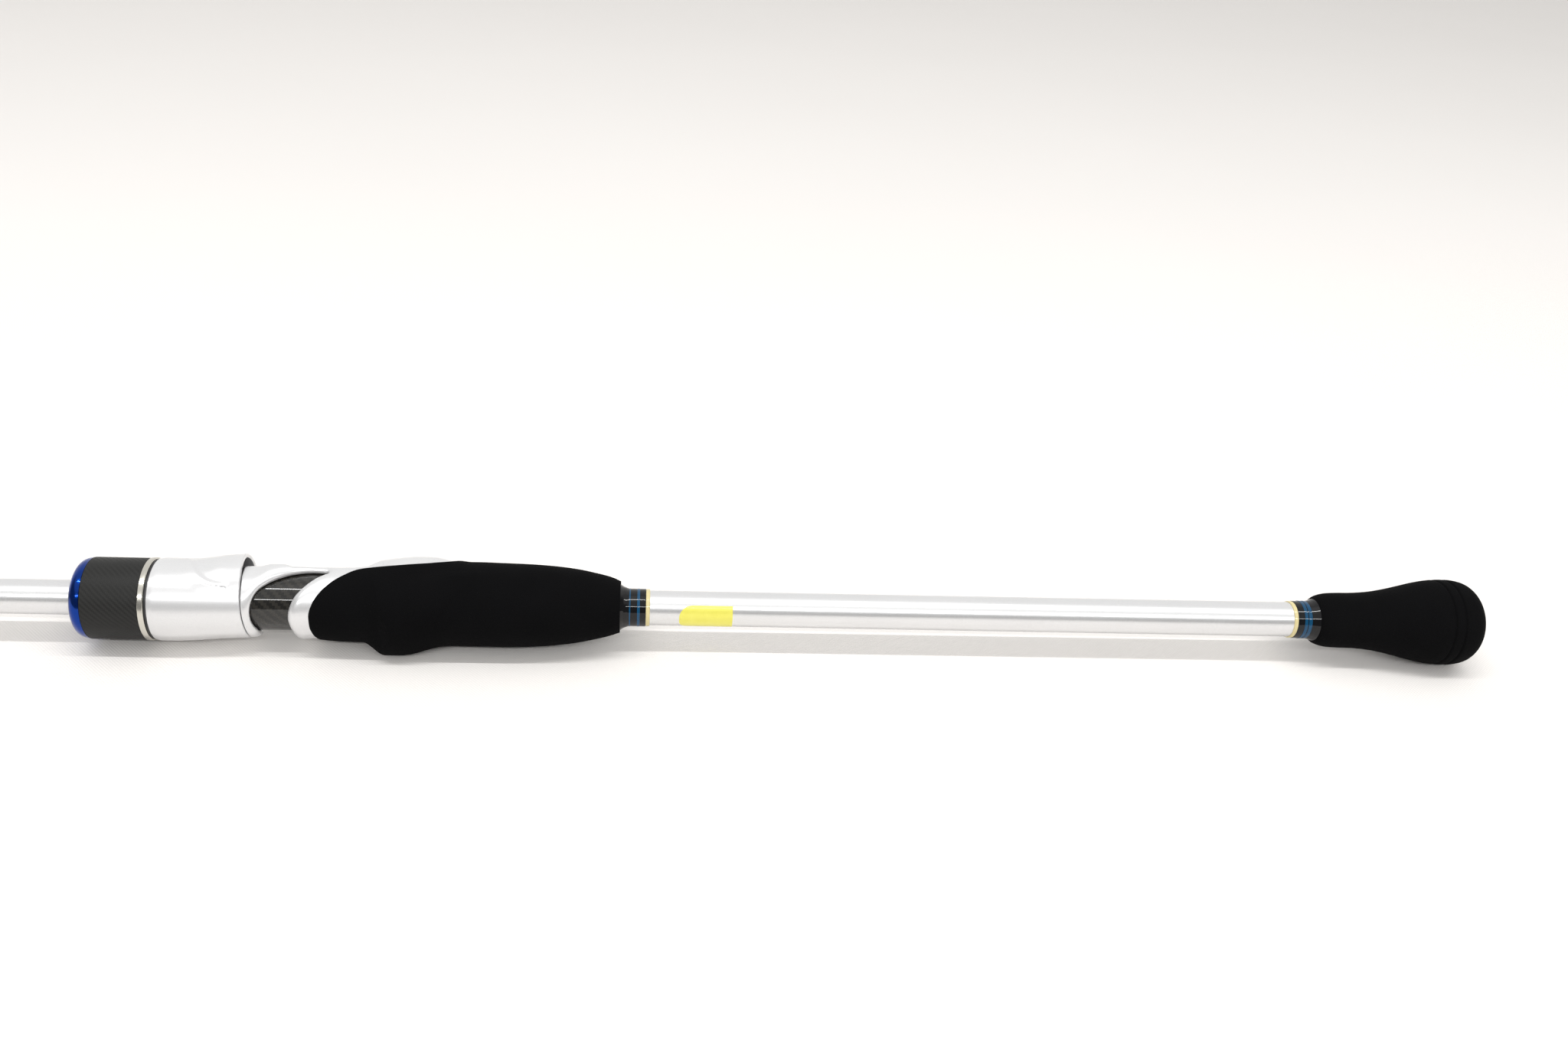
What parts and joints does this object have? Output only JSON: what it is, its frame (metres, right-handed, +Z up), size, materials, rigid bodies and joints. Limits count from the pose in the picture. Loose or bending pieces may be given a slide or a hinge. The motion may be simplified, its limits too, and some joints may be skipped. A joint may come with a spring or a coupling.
{
  "type": "casting fishing rod",
  "caption": "Slim tapered casting rod with foam grips, a trigger reel seat with a screw-down hood, and line guides along the top.",
  "frame": {"origin": "centre of the butt end's face", "axes": "-X runs along the rod to the tip, +Z up with the rod lying on a table, reel side rolled 40 degrees from +Z towards +Y"},
  "size_m": [1.9007, 0.0304, 0.0317],
  "materials": {
    "blank_paint": "silver paint under clear coat, over carbon fibre",
    "foam": "matte closed-cell foam",
    "arbor_foam": "rigid foam",
    "black_thread": "wound thread under glossy epoxy",
    "blue_thread": "metallic thread under glossy epoxy",
    "gold_thread": "metallic thread under glossy epoxy",
    "label_film": "plain printed film",
    "silver_plastic": "satin pearl silver paint",
    "carbon_gloss": "carbon twill under gloss coat",
    "carbon_matte": "matte carbon weave",
    "black_plastic": "satin",
    "bright_nickel": "polished",
    "blue_anodised": "bright anodised",
    "guide_metal": "polished stamped light alloy",
    "guide_ceramic": "polished ceramic"
  },
  "bodies": {
    "rod": {"blank": "blank_paint", "butt_knob": "foam", "butt_wrap": "black_thread", "butt_wrap_blue": "blue_thread", "butt_wrap_trim": "gold_thread", "grip_wrap_trim": "gold_thread", "grip_wrap": "black_thread", "grip_wrap_blue": "blue_thread", "grip_wrap_line": "blue_thread", "label_sticker": "label_film", "seat_frame": "silver_plastic", "seat_pipe": "carbon_gloss", "rear_arbor": "arbor_foam", "middle_arbor": "arbor_foam", "front_arbor": "arbor_foam", "trigger_grip": "foam", "guide_1_ring": "guide_ceramic", "guide_1_frame": "guide_metal", "guide_1_wrap": "black_thread", "guide_2_ring": "guide_ceramic", "guide_2_frame": "guide_metal", "guide_2_wrap": "black_thread", "guide_3_ring": "guide_ceramic", "guide_3_frame": "guide_metal", "guide_3_wrap": "black_thread", "guide_4_ring": "guide_ceramic", "guide_4_frame": "guide_metal", "guide_4_wrap": "black_thread", "guide_5_ring": "guide_ceramic", "guide_5_frame": "guide_metal", "guide_5_wrap": "black_thread", "guide_6_ring": "guide_ceramic", "guide_6_frame": "guide_metal", "guide_6_wrap": "black_thread", "guide_7_ring": "guide_ceramic", "guide_7_frame": "guide_metal", "guide_7_wrap": "black_thread", "tip_top_ring": "guide_ceramic", "tip_top_frame": "guide_metal", "tip_top_wrap": "black_thread"},
    "hood": {"moving_hood": "silver_plastic", "slip_ring": "black_plastic"},
    "nut": {"nut_core": "black_plastic", "nut_rear_ring": "bright_nickel", "nut_sleeve": "carbon_matte", "nut_front_ring": "blue_anodised"}
  },
  "joints": [
    {"name": "hood_slide", "type": "slide", "parent": "rod", "child": "hood", "axis": [-1, 0, 0], "range_m": [0, 0.012]},
    {"name": "nut_turn", "type": "hinge", "parent": "hood", "child": "nut", "pos_m": [-0.4458, 0, 0], "axis": [-1, 0, 0], "range_deg": [0, 2160]}
  ],
  "couplings": [
    {"joint": "hood_slide", "follows": "nut_turn", "m_per_rad": 0.00031831}
  ]
}
